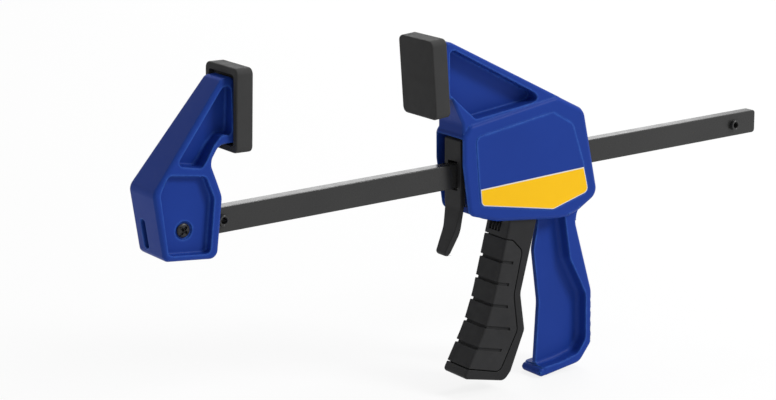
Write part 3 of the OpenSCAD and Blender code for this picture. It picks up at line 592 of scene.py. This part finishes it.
leverPiece = keep(astride(lever["outline"], lever["half"]), "releaseLever")
carve(leverPiece, [turned(astride(lever["face"], lever["faceReach"]), 90, "Z")], "INTERSECT")
carve(leverPiece, [barRoom(*lever["barX"], lever["aside"], lever["above"])])
dress(leverPiece, blackPlastic, "release", "release_lever", lever["edge"], headAt)


metalParts = {"jaw_nut": zincSteel, "pivot_pin": zincSteel, "drive_plate": zincSteel,
              "brake_plate": zincSteel, "drive_spring": springWire, "brake_spring": springWire}

for node, material in metalParts.items():
    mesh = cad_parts[node].data
    mesh.materials.clear()
    mesh.materials.append(material)

# each spring is copied into a piece of its own; the table gives its name, the joint of its plate, and the
# travel in metres by which that plate comes back towards the spring's fixed rear end
springs = {"drive_spring": {"name": "driveSpring", "joint": "drive_slide", "travel": 0.0086},
           "brake_spring": {"name": "brakeSpring", "joint": "release_tilt", "travel": 0.0038}}

for node, spring in springs.items():
    piece = bpy.data.objects.new(spring["name"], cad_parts[node].data.copy())
    bpy.context.scene.collection.objects.link(piece)
    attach(piece, "head")
    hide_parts(node)
    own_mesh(piece)


studio = {"floorX": 0.1, "floorZ": -0.1057, "floorSize": 14, "floorGrey": 0.9, "shadow": 0.16,
          "worldLight": 0.32, "lampsAim": (0.12, 0, 0)}
lamps = {"key": {"at": (1.5, -1.85, 1.65), "width": 0.8, "height": 0.8, "power": 42},
         "back": {"at": (0.95, 1.25, 0.55), "width": 0.8, "height": 0.8, "power": 3},
         "strip": {"at": (0.98, 0.16, 1.54), "width": 1.6, "height": 0.36, "power": 17}}


def seenWhite(tree):
    # 1 for the rays that show the background itself, 0 for those that light the clamp
    rays = tree.nodes.new("ShaderNodeLightPath")
    seen = combine(tree, "MAXIMUM", rays.outputs["Is Camera Ray"], rays.outputs["Is Glossy Ray"])
    return combine(tree, "MAXIMUM", seen, rays.outputs["Is Transmission Ray"])


def paleFloor():
    material = bpy.data.materials.new("paleFloor")
    material.use_nodes = True
    tree = material.node_tree
    tree.nodes.clear()
    output = tree.nodes.new("ShaderNodeOutputMaterial")
    diffuse = tree.nodes.new("ShaderNodeBsdfDiffuse")
    grey = studio["floorGrey"]
    diffuse.inputs["Color"].default_value = (grey, grey, grey, 1)
    glow = tree.nodes.new("ShaderNodeEmission")
    mixer = tree.nodes.new("ShaderNodeMixShader")
    tree.links.new(combine(tree, "MULTIPLY", seenWhite(tree), 1 - studio["shadow"]), mixer.inputs[0])
    tree.links.new(diffuse.outputs[0], mixer.inputs[1])
    tree.links.new(glow.outputs[0], mixer.inputs[2])
    tree.links.new(mixer.outputs[0], output.inputs["Surface"])
    return material


bm = bmesh.new()
bmesh.ops.create_grid(bm, x_segments=1, y_segments=1, size=studio["floorSize"] / 2)
bmesh.ops.translate(bm, vec=(studio["floorX"], 0, studio["floorZ"]), verts=bm.verts)
floor = keep(bm, "floor")
floor.data.materials.append(paleFloor())

world = bpy.data.worlds.new("studio")
bpy.context.scene.world = world
world.use_nodes = True
tree = world.node_tree
backdrop = tree.nodes["Background"]
backdrop.inputs["Color"].default_value = (1, 1, 1, 1)
tree.links.new(spread(tree, seenWhite(tree), studio["worldLight"], 1, 0, 1), backdrop.inputs["Strength"])

for name, lamp in lamps.items():
    light = bpy.data.lights.new(name, "AREA")
    light.shape = "RECTANGLE"
    light.size = lamp["width"]
    light.size_y = lamp["height"]
    light.energy = lamp["power"]
    lampObject = bpy.data.objects.new(name, light)
    bpy.context.scene.collection.objects.link(lampObject)
    lampObject.location = lamp["at"]
    lampObject.visible_camera = False
    lampObject.rotation_mode = "QUATERNION"
    aim = Vector(studio["lampsAim"]) - Vector(lamp["at"])
    lampObject.rotation_quaternion = aim.to_track_quat("-Z", "Y")


view = {"at": (-0.5088, -0.8343, 0.2695), "turn": -0.616, "rise": 0.258, "roll": -0.009, "lens": 103.85,
        "sensor": 36}

flat = Vector((math.sin(view["turn"]), -math.cos(view["turn"]), 0))
back = Vector((math.cos(view["rise"]) * flat.x, math.cos(view["rise"]) * flat.y, math.sin(view["rise"])))
right = Vector((math.cos(view["turn"]), math.sin(view["turn"]), 0))
up = back.cross(right)
level, tilt = math.cos(view["roll"]), math.sin(view["roll"])
right, up = level * right + tilt * up, level * up - tilt * right
cameraData = bpy.data.cameras.new("camera")
cameraData.sensor_width = view["sensor"]
cameraData.lens = view["lens"]
camera = bpy.data.objects.new("camera", cameraData)
bpy.context.scene.collection.objects.link(camera)
camera.matrix_world = Matrix.Translation(view["at"]) @ Matrix((right, up, back)).transposed().to_4x4()
bpy.context.scene.camera = camera
bpy.context.scene.view_settings.view_transform = "Standard"
print("studio ready")

bpy.context.view_layer.update()
